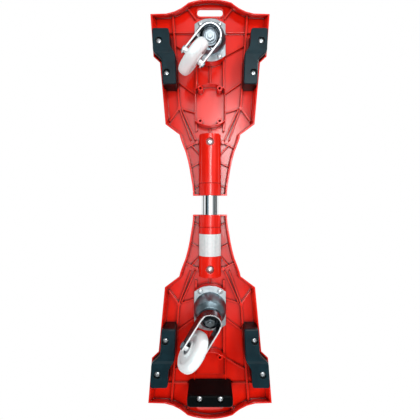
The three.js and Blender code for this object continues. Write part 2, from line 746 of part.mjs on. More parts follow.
function headSkin(baseRadius, baseHeight, levels) {
  const down = new THREE.Vector3(0, Math.sin(casterRake), -Math.cos(casterRake));
  const back = new THREE.Vector3(0, Math.cos(casterRake), Math.sin(casterRake));
  const ring = (placePoint) => Array.from({ length: roundSegments }, (_, i) => {
    const angle = (2 * Math.PI * i) / roundSegments;
    return placePoint(Math.cos(angle), Math.sin(angle));
  });
  const base = ring((x, y) => new THREE.Vector3(baseRadius * x, baseRadius * y, baseHeight));
  const tilted = levels.map(([radius, drop]) => ring((x, y) => (
    new THREE.Vector3(radius * x, 0, 0).addScaledVector(back, radius * y).addScaledVector(down, drop)
  )));
  return lofted([base, ...tilted]);
}

function swivelHead() {
  const outer = headSkin(headBaseRadius, -seatGap, [
    [headShoulderRadius, headShoulderDrop], [(headShoulderRadius + headLipRadius) / 2, headLipDrop - headWall],
    [headLipRadius, headLipDrop], [headEndRadius, headDrop],
  ]);
  const inner = headSkin(headBaseRadius - headWall, seatGap, [
    [headShoulderRadius - headWall, headShoulderDrop], [headLipRadius - headWall, headLipDrop - headWall / 2],
    [headEndRadius - headWall, headDrop - headWall],
  ]);
  const kingpinHole = rod(kingpinHoleRadius, -headDrop - overrun, -headDrop + 2 * headWall, boltSegments)
    .rotate([THREE.MathUtils.radToDeg(casterRake), 0, 0]);
  return cut(outer, inner, kingpinHole);
}

function swivelBearing() {
  const top = -headDrop - seatGap;
  const bottom = top - swivelBearingHeight;
  return cut(
    rod(swivelBearingOuterRadius, bottom, top),
    rod(swivelBearingInnerRadius, bottom - overrun, top + overrun),
  );
}

function acrossPlate(points, halfWidth) {
  const shape = new THREE.Shape(points);
  const geometry = new THREE.ExtrudeGeometry(shape, { depth: 2 * halfWidth, bevelEnabled: false });
  const turn = new THREE.Matrix4().makeBasis(
    new THREE.Vector3(0, 1, 0), new THREE.Vector3(0, 0, 1), new THREE.Vector3(1, 0, 0),
  );
  return solidFrom(geometry.applyMatrix4(turn).translate(-halfWidth, 0, 0));
}

// The fork is one steel stamping: a round plate whose rim turns down and runs on into the two arms
function fork() {
  const endReach = wheelTrail + forkArmHalfWidth + overrun;
  const uPlan = (radius, reach) => [
    point(-radius, reach), ...arcPoints(0, 0, radius, Math.PI, 2 * Math.PI, outlineSegments), point(radius, reach),
  ];
  const bottom = -wheelDrop - wheelRadius;
  const channel = cut(
    plate(uPlan(forkHalfWidth, endReach), bottom, -forkPlateDrop),
    plate(uPlan(forkHalfWidth - forkWall, endReach + overrun), bottom - overrun, -forkPlateDrop - forkPlateThickness),
  );
  const armEnd = arcPoints(
    wheelTrail, -wheelDrop, forkArmHalfWidth, forkArmStartAngle, forkArmEndAngle, arcSegments,
  );
  const cupBottom = -forkPlateDrop - forkCupDepth;
  const side = acrossPlate([
    point(-forkHalfWidth - overrun, cupBottom), point(-forkArmShoulder, cupBottom), ...armEnd,
    point(forkArmNeck, -forkPlateDrop), point(-forkHalfWidth - overrun, -forkPlateDrop),
  ], forkHalfWidth + overrun);
  const atAxle = (solid) => solid.translate([0, wheelTrail, -wheelDrop]);
  const roomHalfWidth = wheelWidth / 2 + overrun;
  const wheelRoom = atAxle(rodAlongX(wheelRadius + overrun, -roomHalfWidth, roomHalfWidth, wheelSegments));
  const bosses = [1, -1].map((end) => {
    const [inside, outside] = [hubHalfWidth + seatGap, forkHalfWidth - forkWall / 2].map((x) => end * x);
    return atAxle(rodAlongX(forkBossRadius, Math.min(inside, outside), Math.max(inside, outside), boltSegments));
  });
  const axleReach = forkHalfWidth + overrun;
  const axleWay = atAxle(rodAlongX(axleHoleRadius, -axleReach, axleReach, boltSegments));
  const raceTop = -forkPlateDrop - forkPlateThickness;
  const raceInner = swivelBearingOuterRadius - raceWidth;
  const race = cut(
    cone(swivelBearingOuterRadius - raceHeight, swivelBearingOuterRadius, raceTop - raceHeight, raceTop),
    cone(raceInner, raceInner + raceHeight, raceTop - raceHeight - seatGap, raceTop - seatGap),
  );
  const kingpinHole = rod(kingpinHoleRadius, raceTop - overrun, -headDrop, boltSegments);
  return cut(join(cut(join(channel.intersect(side), race), wheelRoom), ...bosses), axleWay, kingpinHole);
}

function kingpin() {
  const headBottom = -headDrop + headWall + seatGap;
  const nutBottom = -forkPlateDrop - forkPlateThickness - seatGap - kingpinNutHeight;
  return join(
    rod(kingpinHeadDiameter / 2, headBottom, headBottom + kingpinHeadHeight, boltSegments),
    rod(kingpinDiameter / 2, nutBottom - kingpinTip, headBottom + overrun, boltSegments),
  );
}

function hexagon(width, bottom, top) {
  return rod(width / Math.sqrt(3), bottom, top, 6);
}

function kingpinNut() {
  const top = -forkPlateDrop - forkPlateThickness - seatGap;
  return cut(
    hexagon(kingpinNutWidth, top - kingpinNutHeight, top),
    rod(kingpinHoleRadius, top - kingpinNutHeight - overrun, top + overrun, boltSegments),
  );
}

// Wheel, bearings and axle are drawn about the x axis
function turnedAboutX(profile, segments) {
  return turned(profile, segments).rotate([0, quarterTurnDegrees, 0]);
}

function wheel() {
  const half = wheelWidth / 2;
  const seat = bearingDiameter / 2 + seatGap;
  const spacer = axleBore / 2;
  const seatDepth = hubHalfWidth - bearingWidth - seatGap;
  const crown = arcPoints(
    wheelRadius - wheelShoulderRadius, half - wheelShoulderRadius, wheelShoulderRadius, 0, quarterTurn, arcSegments,
  ).map((corner) => [corner.x, corner.y]);
  const lowerHalf = [
    [spacer, -seatDepth], [seat, -seatDepth], [seat, -hubHalfWidth], [hubRadius, -hubHalfWidth],
    [hubRadius, wheelDish - half], [wheelRimRadius, wheelDish - half], [wheelRimRadius + wheelDish / 2, -half],
    ...crown.map(([radius, height]) => [radius, -height]).reverse(),
  ];
  const upperHalf = lowerHalf.map(([radius, height]) => [radius, -height]).reverse();
  return turnedAboutX([...lowerHalf, ...upperHalf], wheelSegments);
}

function wheelBearing(side) {
  const [inner, outer] = [axleHoleRadius, bearingDiameter / 2];
  const [start, end] = [hubHalfWidth - bearingWidth, hubHalfWidth].map((x) => side * x);
  return turnedAboutX([[inner, start], [outer, start], [outer, end], [inner, end]], boltSegments);
}

function axleBolt() {
  const seat = -forkHalfWidth - seatGap;
  const tip = forkHalfWidth + seatGap + axleHeadHeight + axleTip;
  return join(
    hexagon(axleHeadWidth, -axleHeadHeight, 0).rotate([0, quarterTurnDegrees, 0]).translate([seat, 0, 0]),
    rodAlongX(axleDiameter / 2, seat - overrun, tip, boltSegments),
  );
}

function axleNut() {
  const seat = forkHalfWidth + seatGap;
  return cut(
    hexagon(axleHeadWidth, 0, axleHeadHeight).rotate([0, quarterTurnDegrees, 0]).translate([seat, 0, 0]),
    rodAlongX(axleHoleRadius, seat - overrun, seat + axleHeadHeight + overrun, boltSegments),
  );
}

// Putting the board together
const board = new THREE.Group();

function deckGroup(name, isRear) {
  const group = new THREE.Group();
  group.position.set(0, isRear ? neckEndOffset : -neckEndOffset, padHeight);
  group.rotation.z = isRear ? 0 : Math.PI;
  group.add(piece(`${name}_deck`, deckBoard(isRear), redPlastic));

  const ovalPlan = ellipsePlan(
    ovalSticker.lengthShare * fieldLength, 2 * ovalSticker.widthShare * deckHalfWidth,
    fieldArcStation + ovalSticker.middleShare * fieldLength,
  );
  const ovalBottom = fieldTop + seatGap;
  group.add(piece(`${name}_oval_sticker`, plate(ovalPlan, ovalBottom, ovalBottom + stickerThickness), orangeVinyl));

  const neckBottom = neckPocketBottom + seatGap;
  const neckSticker = plate(neckStickerPlan(), neckBottom, neckBottom + stickerThickness);
  const boltSeat = tubeAxisHeight - housingRadius + clampBoltRecessDepth;
  const bolt = piece(`${name}_clamp_bolt`, clampBolt(), zincSteel);
  bolt.position.set(0, clampBoltStation, boltSeat);
  group.add(bolt);

  for (const [label, side] of [['a', 1], ['b', -1]]) {
    group.add(piece(`${name}_neck_sticker_${label}`, mirroredAcross(neckSticker, side), darkVinyl));
    group.add(piece(`${name}_bumper_${label}`, bumper(side), blackRubber));
    for (const [leg, place] of bumperScrewPlaces) {
      const bumperScrew = screw(casterScrewHeadDiameter, screwHeadHeight, screwShankDiameter, bumperScrewLength);
      const mesh = piece(`${name}_bumper_screw_${label}_${leg}`, bumperScrew, zincSteel);
      mesh.position.set(side * place.x, place.y, countersinkDepth - bumperProud - seatGap);
      group.add(mesh);
    }
  }
  return group;
}

function casterGroup(name, station) {
  const group = new THREE.Group();
  group.position.set(0, station, padHeight);
  group.add(piece(`${name}_caster_plate`, casterPlate(), zincSteel));
  screwCorners.forEach(([x, y], i) => {
    const plateScrew = screw(casterScrewHeadDiameter, screwHeadHeight, screwShankDiameter, casterScrewLength);
    const mesh = piece(`${name}_caster_screw_${i + 1}`, plateScrew, zincSteel);
    mesh.position.set(x, y, -casterPlateStack - seatGap);
    group.add(mesh);
  });

  const head = piece(`${name}_swivel_head`, swivelHead(), greySteel);
  head.position.z = -casterPlateStack;
  group.add(head);

  const raked = new THREE.Group();
  raked.position.z = -casterPlateStack;
  raked.rotation.x = casterRake;
  raked.add(piece(`${name}_swivel_bearing`, swivelBearing(), zincSteel));
  raked.add(piece(`${name}_kingpin`, kingpin(), zincSteel));
  raked.add(piece(`${name}_kingpin_nut`, kingpinNut(), zincSteel));

  const swivelling = new THREE.Group();
  swivelling.rotation.z = casterSwivel;
  swivelling.add(piece(`${name}_fork`, fork(), zincSteel));

  const axle = new THREE.Group();
  axle.position.set(0, wheelTrail, -wheelDrop);
  axle.add(piece(`${name}_axle_bolt`, axleBolt(), zincSteel));
  axle.add(piece(`${name}_axle_nut`, axleNut(), zincSteel));
  axle.add(piece(`${name}_wheel`, wheel(), whiteUrethane));
  axle.add(piece(`${name}_wheel_bearing_left`, wheelBearing(-1), zincSteel));
  axle.add(piece(`${name}_wheel_bearing_right`, wheelBearing(1), zincSteel));
  swivelling.add(axle);
  raked.add(swivelling);
  group.add(raked);
  return group;
}

const rearDeckGroup = deckGroup('rear', true);
rearDeckGroup.add(piece('rear_housing_label', housingLabel(), whiteVinyl));
rearDeckGroup.add(piece('tail_block', tailBlock(), blackNylon));
for (const [label, side] of [['a', 1], ['b', -1]]) {
  const tailScrew = screw(casterScrewHeadDiameter, screwHeadHeight, screwShankDiameter, tailScrewLength);
  const mesh = piece(`tail_block_screw_${label}`, tailScrew, zincSteel);
  mesh.position.set((side * tailScrewPitch) / 2, tailScrewStation, tailScrewSeat - seatGap);
  rearDeckGroup.add(mesh);
}

const tubeGroup = new THREE.Group();
tubeGroup.position.z = padHeight + tubeAxisHeight;
tubeGroup.add(piece('torsion_tube', torsionTube(), chromeSteel));
tubeGroup.add(piece('torsion_bar', rodAlongY(barDiameter / 2, -barReach, barReach, 0, boltSegments), greySteel));
tubeGroup.add(piece('rear_tube_sleeve', tubeSleeve(1), blackNylon));
tubeGroup.add(piece('front_tube_bush', tubeSleeve(-1), blackNylon));

board.add(rearDeckGroup, deckGroup('front', false), tubeGroup);
board.add(casterGroup('rear', neckEndOffset + innerPadStation));
board.add(casterGroup('front', -neckEndOffset - outerPadStation));

export default board;
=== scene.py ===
# A caster board seen from below: two red moulded decks, a chromed tube, and a caster under each deck.
# The board rolls on its two inclined casters and steers by twisting one deck against the other.
import json
import math

import bpy
from mathutils import Matrix, Vector

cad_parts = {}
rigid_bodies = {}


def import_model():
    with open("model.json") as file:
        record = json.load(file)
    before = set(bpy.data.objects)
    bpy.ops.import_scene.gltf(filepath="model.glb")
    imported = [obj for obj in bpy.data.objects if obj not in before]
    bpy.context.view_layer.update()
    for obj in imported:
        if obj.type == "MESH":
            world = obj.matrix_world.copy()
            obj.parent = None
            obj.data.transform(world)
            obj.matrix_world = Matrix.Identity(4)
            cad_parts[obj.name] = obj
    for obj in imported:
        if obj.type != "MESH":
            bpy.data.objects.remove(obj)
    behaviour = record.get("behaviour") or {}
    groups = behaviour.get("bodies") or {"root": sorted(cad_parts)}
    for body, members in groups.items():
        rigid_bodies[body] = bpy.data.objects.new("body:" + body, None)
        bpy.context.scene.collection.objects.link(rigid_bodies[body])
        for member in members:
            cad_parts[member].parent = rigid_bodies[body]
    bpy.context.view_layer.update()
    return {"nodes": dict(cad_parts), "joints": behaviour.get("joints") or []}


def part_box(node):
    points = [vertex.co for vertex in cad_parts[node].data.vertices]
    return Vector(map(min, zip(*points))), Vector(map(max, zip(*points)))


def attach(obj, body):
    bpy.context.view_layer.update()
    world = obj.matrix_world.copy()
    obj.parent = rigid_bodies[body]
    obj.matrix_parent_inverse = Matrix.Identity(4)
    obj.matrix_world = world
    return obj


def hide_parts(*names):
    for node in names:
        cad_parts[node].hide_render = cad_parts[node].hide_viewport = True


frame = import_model()
scene = bpy.context.scene
scene.view_settings.view_transform = "Standard"
for item in bpy.data.objects:
    item.select_set(False)

# Camera under the board
# It looks up as in the underside view of the photograph, from 0.6 m below the caster pads and a
# touch towards the nose. The frame is measured in pixels of the photograph.
MM = 0.001
PLATE_GAP = 0.3 * MM
PAD_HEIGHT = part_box("rear_caster_plate")[1].z + PLATE_GAP
CAMERA_DROP, CAMERA_TILT, CLIP_START = 600 * MM, 0.0259, 10 * MM
FRAME_PIXELS, FOCAL_PIXELS, HORIZON_PIXEL, SENSOR_MM = 420, 292.3, 197.6, 36
bpy.ops.object.camera_add()
camera = bpy.context.object
camera.name = "underside_camera"
camera.data.sensor_width = SENSOR_MM
camera.data.lens = SENSOR_MM * FOCAL_PIXELS / FRAME_PIXELS
camera.data.clip_start = CLIP_START
camera.data.shift_y = (HORIZON_PIXEL - FRAME_PIXELS / 2) / FRAME_PIXELS
camera.matrix_world = Matrix.Translation((0, 0, PAD_HEIGHT - CAMERA_DROP)) @ Matrix((
    (1, 0, 0, 0),
    (0, -math.cos(CAMERA_TILT), math.sin(CAMERA_TILT), 0),
    (0, -math.sin(CAMERA_TILT), -math.cos(CAMERA_TILT), 0),
    (0, 0, 0, 1),
))
scene.camera = camera


# Floor under the wheels
# Pale painted board, which takes the shadow. It is one-sided, so that the camera below looks up
# through it at a white room.
def hex_colour(code):
    """A linear colour with alpha from an sRGB hex value."""
    channels = [int(code[i:i + 2], 16) / 255 for i in (1, 3, 5)]
    return [c / 12.92 if c <= 0.04045 else ((c + 0.055) / 1.055) ** 2.4 for c in channels] + [1]


def node(tree, kind, sockets=None, **settings):
    """Adds a shader node, sets its settings, and fills its sockets with values or with links."""
    made = tree.nodes.new(kind)
    for name, value in settings.items():
        setattr(made, name, value)
    for name, value in (sockets or {}).items():
        if isinstance(value, bpy.types.NodeSocket):
            tree.links.new(value, made.inputs[name])
        else:
            made.inputs[name].default_value = value
    return made


def empty_material(name):
    """A material with no nodes yet, and its tree."""
    made = bpy.data.materials.new(name)
    made.use_nodes = True
    made.node_tree.nodes.clear()
    return made, made.node_tree


FLOOR_SIZE, FLOOR_DROP = 60, 0.5 * MM
floor_paint, tree = empty_material("pale painted floor")
paint = node(tree, "ShaderNodeBsdfDiffuse", {"Color": hex_colour("#EDEDEB")})
see_through = node(tree, "ShaderNodeBsdfTransparent")
side_met = node(tree, "ShaderNodeNewGeometry").outputs["Backfacing"]
one_sided = node(tree, "ShaderNodeMixShader", {
    0: side_met, 1: paint.outputs[0], 2: see_through.outputs[0]})
node(tree, "ShaderNodeOutputMaterial", {"Surface": one_sided.outputs[0]})
bpy.ops.mesh.primitive_plane_add(size=FLOOR_SIZE, location=(0, 0, -FLOOR_DROP))
floor = bpy.context.object
floor.name = "floor"
floor.data.materials.append(floor_paint)
floor.visible_shadow = floor.visible_glossy = False

# White room
# Plain white wherever the camera, metal or a clear part looks at it, and a plain soft light,
# half as strong, for all else.
SOFT_STRENGTH, SEEN_STRENGTH = 0.5, 1
room = bpy.data.worlds.new("white room")
scene.world = room
room.use_nodes = True
tree = room.node_tree
tree.nodes.clear()
ray = node(tree, "ShaderNodeLightPath").outputs
seen = node(tree, "ShaderNodeMath", {
    0: ray["Is Camera Ray"], 1: ray["Is Transmission Ray"]}, operation="MAXIMUM")
seen = node(tree, "ShaderNodeMath", {0: seen.outputs[0], 1: ray["Is Glossy Ray"]}, operation="MAXIMUM")
soft_light = node(tree, "ShaderNodeBackground", {
    "Color": hex_colour("#FFFFFF"), "Strength": SOFT_STRENGTH})
white = node(tree, "ShaderNodeBackground", {
    "Color": hex_colour("#FFFFFF"), "Strength": SEEN_STRENGTH})
either = node(tree, "ShaderNodeMixShader", {
    0: seen.outputs[0], 1: soft_light.outputs[0], 2: white.outputs[0]})
node(tree, "ShaderNodeOutputWorld", {"Surface": either.outputs[0]})


# Studio lamps
# Soft lamps below for the underside and above for the decks, each with its size in metres and its
# watts. The wide ones below stay out of the gloss, and the softboxes by the camera light gloss alone.
def lamp(name, place, aim, size, watts):
    """A rectangular soft lamp at a place, facing another place."""
    bpy.ops.object.light_add(type="AREA", location=place)
    made = bpy.context.object
    made.name = name
    made.data.shape = "RECTANGLE"
    made.data.size, made.data.size_y = size
    made.data.energy = watts
    made.rotation_euler = (Vector(aim) - Vector(place)).to_track_quat("-Z", "Y").to_euler()
    return made


MIDDLE, SOFTBOX_DEPTH = (0, 0, PAD_HEIGHT), PAD_HEIGHT - 0.62
for name, place, size, watts, in_gloss in (
    ("key_below", (1.5, -1.1, -1.9), (0.3, 0.3), 19, True),
    ("wide_light_below", (0.3, 0.1, -1.6), (1.2, 1.8), 13, False),
    ("fill_below", (-0.8, 0.6, -1.5), (1.2, 1.4), 14, False),
    ("key_above", (1.5, -1.2, 0.95), (0.25, 0.25), 34, True),
    ("fill_above", (-1.1, 0.9, 1.2), (1.2, 1.2), 2, True),
):
    lamp(name, place, MIDDLE, size, watts).visible_glossy = in_gloss
for name, x, y, size, watts in (
    ("wide_softbox", 0.01, -0.12, (0.26, 0.8), 1.3),
    ("narrow_softbox", 0.085, -0.15, (0.075, 0.5), 3.6),
):
    box = lamp(name, (x, y, SOFTBOX_DEPTH), (x, y, PAD_HEIGHT), size, watts)
    box.visible_diffuse = box.visible_camera = False


# Dark reflection cards
# Black velvet and two grey boards on frames, measured in metres, that only the gloss sees. They leave
# windows for the neck and the caster plates. The strips beside the tube draw the lines in its chrome.
def matt_board(name, code):
    """A matt material of one colour."""
    made, tree = empty_material(name)
    matt = node(tree, "ShaderNodeBsdfDiffuse", {"Color": hex_colour(code)})
    node(tree, "ShaderNodeOutputMaterial", {"Surface": matt.outputs[0]})
    return made


CARD_DEPTH, STRIP_REACH, STRIP_LENGTH = PAD_HEIGHT - 0.7, 0.9, 0.2
SIDE_REACH, SIDE_DEPTH, SIDE_WIDTH = 1.4, -0.15, 0.9
velvet = matt_board("black velvet", "#060708")
grey_board = matt_board("grey board", "#8A9296")
blue_board = matt_board("blue grey board", "#7D929B")
cards = [
    ("card_tail", (0, 1.1, CARD_DEPTH), (3, 1.16), 0, velvet),
    ("card_rear_left", (-0.82, 0.32, CARD_DEPTH), (1.36, 0.4), 0, velvet),
    ("card_rear_right", (0.83, 0.32, CARD_DEPTH), (1.34, 0.4), 0, velvet),
    ("card_front_left", (-0.83, -0.86, CARD_DEPTH), (1.36, 1.48), 0, velvet),
    ("card_front_right", (0.83, -0.86, CARD_DEPTH), (1.36, 1.48), 0, velvet),
]
for side in (-1, 1):
    for half, y, length in (("rear", 0.8, 1.36), ("front", -0.86, 1.48)):
        place = (side * SIDE_REACH, y, SIDE_DEPTH)
        cards.append((f"card_side_{side}_{half}", place, (SIDE_WIDTH, length), -90 * side, velvet))
for angle, spread, material in (
    (-52, 20, velvet), (-98, 14, velvet), (94, 24, velvet), (61, 38, grey_board), (-33, 28, blue_board),
):
    lean = math.radians(angle)
    place = (STRIP_REACH * math.sin(lean), 0, PAD_HEIGHT - STRIP_REACH * math.cos(lean))
    size = (STRIP_REACH * math.radians(spread), STRIP_LENGTH)
    cards.append((f"strip_{angle}", place, size, -angle, material))
for name, place, size, turn, material in cards:
    bpy.ops.mesh.primitive_plane_add(size=1, location=place, rotation=(0, math.radians(turn), 0))
    card = bpy.context.object
    card.name = name
    card.scale = (*size, 1)
    card.data.materials.append(material)
    card.visible_camera = card.visible_diffuse = False
    card.visible_shadow = card.visible_transmission = False


# Deck mouldings
# Two decks of polypropylene, injection moulded in one shot and pigmented through in signal red.
# The mould is polished, so skirts, ribs and pads are glossy.
def choose(obj):
    """Selects one object alone and makes it active."""
    for other in bpy.context.selected_objects:
        other.select_set(False)
    obj.select_set(True)
    bpy.context.view_layer.objects.active = obj


cad = frame["nodes"]
MERGE_REACH, FLAT_DEGREES, LEVEL = 0.02 * MM, 1.5, 0.999


def dressed_copy(name, suffix, width_mm, segments=2, sharp=32):
    """A merged copy of a CAD node with its edges rounded, which can then stand for that node."""
    obj = cad[name].copy()
    obj.data = cad[name].data.copy()
    for key in list(obj.keys()):
        del obj[key]
    obj.parent = None
    obj.name = f"{name}_{suffix}"
    scene.collection.objects.link(obj)
    obj.data.materials.clear()
    choose(obj)
    bpy.ops.object.mode_set(mode="EDIT")
    bpy.ops.mesh.select_all(action="SELECT")
    bpy.ops.mesh.remove_doubles(threshold=MERGE_REACH)
    bpy.ops.mesh.dissolve_limited(angle_limit=math.radians(FLAT_DEGREES))
    bpy.ops.mesh.normals_make_consistent(inside=False)
    bpy.ops.object.mode_set(mode="OBJECT")
    bpy.ops.object.shade_smooth_by_angle(angle=math.radians(sharp))
    for face in obj.data.polygons:
        face.use_smooth = abs(face.normal.z) < LEVEL
    if width_mm:
        rounding = obj.modifiers.new("rounding", "BEVEL")
        rounding.limit_method = "ANGLE"
        rounding.angle_limit = math.radians(sharp)
        rounding.width = width_mm * MM
        rounding.segments = segments
        rounding.use_clamp_overlap = rounding.harden_normals = True
        bpy.ops.object.modifier_apply(modifier="rounding")
    return obj


def finished(obj, body, material, slot, *stands_for):
    """Gives a piece its material and its body, and hides the CAD nodes that it stands for. The slot is
    not used.
    """
    obj.data.materials.clear()
    obj.data.materials.append(material)
    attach(obj, body)
    if stands_for:
        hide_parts(*stands_for)
    return obj


def principled(name, code, roughness, metallic=0, **sockets):
    """A material with one Principled shader of a mean colour, its object coordinates and its output."""
    made, tree = empty_material(name)
    place = node(tree, "ShaderNodeTexCoord").outputs["Object"]
    values = {"Base Color": hex_colour(code), "Roughness": roughness, "Metallic": metallic, **sockets}
    shader = node(tree, "ShaderNodeBsdfPrincipled", values)
    node(tree, "ShaderNodeOutputMaterial", {"Surface": shader.outputs[0]})
    return made, tree, place, shader


def mottled(tree, place, dark, light, size_mm):
    """A soft mottle between two hex colours, with blotches of about size_mm."""
    noise = node(tree, "ShaderNodeTexNoise", {"Vector": place, "Scale": 1 / (size_mm * MM), "Detail": 4})
    ramp = node(tree, "ShaderNodeValToRGB", {"Fac": noise.outputs["Fac"]})
    low, high = ramp.color_ramp.elements
    low.position, low.color = 0.35, hex_colour(dark)
    high.position, high.color = 0.65, hex_colour(light)
    return ramp.outputs["Color"]


def relief(tree, place, shader, size_mm, depth_mm, round_mm=0.8):
    """Fine relief of a size and depth, on edges that catch the light as if they were rounded."""
    edges = node(tree, "ShaderNodeBevel", {"Radius": round_mm * MM}, samples=6)
    noise = node(tree, "ShaderNodeTexNoise", {"Vector": place, "Scale": 1 / (size_mm * MM), "Detail": 3})
    bump = node(tree, "ShaderNodeBump", {
        "Height": noise.outputs["Fac"], "Distance": depth_mm * MM, "Normal": edges.outputs[0]})
    tree.links.new(bump.outputs["Normal"], shader.inputs["Normal"])


def worn_gloss(tree, place, shader, low, high, size_mm):
    """Roughness that drifts between two values over patches of about size_mm."""
    noise = node(tree, "ShaderNodeTexNoise", {"Vector": place, "Scale": 1 / (size_mm * MM), "Detail": 5})
    spread = node(tree, "ShaderNodeMapRange", {
        "Value": noise.outputs["Fac"], "From Min": 0.3, "From Max": 0.7, "To Min": low, "To Max": high})
    tree.links.new(spread.outputs["Result"], shader.inputs["Roughness"])


# The colour is painted darker in corners and creases and next to other parts, a painted shade that makes
# the ribs stand out.
PAINTED_SHADE_REACH, PAINTED_SHADE_FULL, PAINTED_SHADE_NONE = 5 * MM, 0.35, 0.92
red_plastic, tree, place, shader = principled(
    "polypropylene, injection moulded, signal red", "#DC1D0C", 0.18, IOR=1.49)
painted_shade_ao = node(tree, "ShaderNodeAmbientOcclusion", {"Distance": PAINTED_SHADE_REACH}, samples=8)
outside_painted_shade = node(tree, "ShaderNodeMapRange", {
    "Value": painted_shade_ao.outputs["AO"], "From Min": PAINTED_SHADE_FULL, "From Max": PAINTED_SHADE_NONE}).outputs[0]
pigment_and_painted_light = mottled(tree, place, "#D6190A", "#E4200E", 60)
# Painted shade: dark maroon where the occlusion finds corners and creases.
pigment_and_painted_light = node(tree, "ShaderNodeMix", {
    0: outside_painted_shade, 6: hex_colour("#6E0603"), 7: pigment_and_painted_light}, data_type="RGBA").outputs[2]

# Rib tops and other outer edges are painted paler than the faces, a painted highlight that draws the
# light lines of the ribs. The skirt's rim hangs below the ribs and gets no painted highlight, and
# neither does the painted shade.
EDGE_HIGHLIGHT_WIDTH, EDGE_HIGHLIGHT_STARTS, EDGE_HIGHLIGHT_FULL, EDGE_HIGHLIGHT_SHARE = 1.3 * MM, 0.99, 0.85, 0.4
SKIRT_RIM, RIB_FLOOR = 95 * MM, 101 * MM
rounded = node(tree, "ShaderNodeBevel", {"Radius": EDGE_HIGHLIGHT_WIDTH}, samples=6).outputs[0]
true_normal = node(tree, "ShaderNodeNewGeometry").outputs["True Normal"]
turned = node(tree, "ShaderNodeVectorMath", {
    0: rounded, 1: true_normal}, operation="DOT_PRODUCT").outputs["Value"]
on_edge = node(tree, "ShaderNodeMapRange", {
    "Value": turned, "From Min": EDGE_HIGHLIGHT_STARTS, "From Max": EDGE_HIGHLIGHT_FULL, "To Max": EDGE_HIGHLIGHT_SHARE}).outputs[0]
height = node(tree, "ShaderNodeSeparateXYZ", {0: place}).outputs["Z"]
above_rim = node(tree, "ShaderNodeMapRange", {
    "Value": height, "From Min": SKIRT_RIM, "From Max": RIB_FLOOR}).outputs[0]
painted_edge_highlight = node(tree, "ShaderNodeMath", {0: on_edge, 1: outside_painted_shade}, operation="MULTIPLY").outputs[0]
painted_edge_highlight = node(tree, "ShaderNodeMath", {0: painted_edge_highlight, 1: above_rim}, operation="MULTIPLY").outputs[0]
# Painted highlight: pale pink on the edges.
pigment_and_painted_light = node(tree, "ShaderNodeMix", {
    0: painted_edge_highlight, 6: pigment_and_painted_light, 7: hex_colour("#F08070")}, data_type="RGBA").outputs[2]
tree.links.new(pigment_and_painted_light, shader.inputs["Base Color"])
worn_gloss(tree, place, shader, 0.14, 0.22, 45)
relief(tree, place, shader, 3, 0.003, 2)

# The two ends of the board, and the side of the middle on which each lies.
ENDS = {"front": -1, "rear": 1}
decks = {}
for end in ENDS:
    deck = dressed_copy(f"{end}_deck", "moulding", 0)
    decks[end] = finished(deck, f"{end}_board", red_plastic, "red_moulded_plastic", f"{end}_deck")

# Studs on the standing field
# Low domes moulded in one with each deck, which keep shoes from slipping. They stand in rows 9.5 mm
# apart that follow the oval sticker, on average 9.5 mm from stud to stud.
NECK_END, FIELD_HEIGHT, FIELD_TOLERANCE = 19.5 * MM, PAD_HEIGHT + 26 * MM, 0.05 * MM
OVAL_STATION, OVAL_HALF_WIDTH, OVAL_HALF_LENGTH = 246.3 * MM, 62.5 * MM, 101 * MM
STUD_ROWS, STUD_ROW, STUD_ROW_SHIFT, TWO_STEPS = 17, 9.5 * MM, 2 * MM, 19 * MM
STUD_RADIUS, STUD_RISE, STUD_GROUND, PROBE_HEIGHT = 2 * MM, 0.95 * MM, 4.5 * MM, 300 * MM


def on_field(deck, x, y):
    """True where a stud and the ground around it stand on the recessed field."""
    for dx, dy in ((0, 0), (1, 0), (-1, 0), (0, 1), (0, -1)):
        start = Vector((x + dx * STUD_GROUND, y + dy * STUD_GROUND, PROBE_HEIGHT))
        hit, spot = deck.ray_cast(start, Vector((0, 0, -1)))[:2]
        if not hit or abs(spot.z - FIELD_HEIGHT) > FIELD_TOLERANCE:
            return False
    return True


def stud_places(deck, sign):
    """Points on ovals that grow outwards from the sticker's edge, kept where they fall on the field.

    Every other oval starts half a step on.
    """
    places = []
    for row in range(1, STUD_ROWS + 1):
        grow = row * STUD_ROW - STUD_ROW_SHIFT
        a, b = OVAL_HALF_WIDTH + grow, OVAL_HALF_LENGTH + grow
        around = math.pi * (3 * (a + b) - math.sqrt((3 * a + b) * (a + 3 * b)))
        count = 2 * round(around / TWO_STEPS)
        for i in range(count):
            angle = 2 * math.pi * (i + 0.5 * (row % 2)) / count
            x = a * math.cos(angle)
            y = sign * (NECK_END + OVAL_STATION + b * math.sin(angle))
            if on_field(deck, x, y):
                places.append((x, y))
    return places


bpy.ops.mesh.primitive_uv_sphere_add(segments=8, ring_count=6, radius=STUD_RADIUS)
stud = bpy.context.object
stud.name = "stud"
bpy.ops.object.mode_set(mode="EDIT")
bpy.ops.mesh.select_all(action="SELECT")
bpy.ops.mesh.bisect(plane_co=(0, 0, 0), plane_no=(0, 0, 1), clear_inner=True, use_fill=False)
bpy.ops.object.mode_set(mode="OBJECT")
stud.scale = (1, 1, STUD_RISE / STUD_RADIUS)
bpy.ops.object.transform_apply(location=False, rotation=False, scale=True)
bpy.ops.object.shade_smooth()
for end, sign in ENDS.items():
    copies = []
    for x, y in stud_places(decks[end], sign):
        one = stud.copy()
        one.data = stud.data.copy()
        one.location = (x, y, FIELD_HEIGHT)
        scene.collection.objects.link(one)
        copies.append(one)
    choose(copies[0])
    for one in copies:
        one.select_set(True)
    bpy.ops.object.join()
    bpy.ops.object.transform_apply(location=True, rotation=True, scale=True)
    copies[0].name = f"{end}_deck_studs"
    finished(copies[0], f"{end}_board", red_plastic, "red_moulded_plastic")
bpy.data.objects.remove(stud)

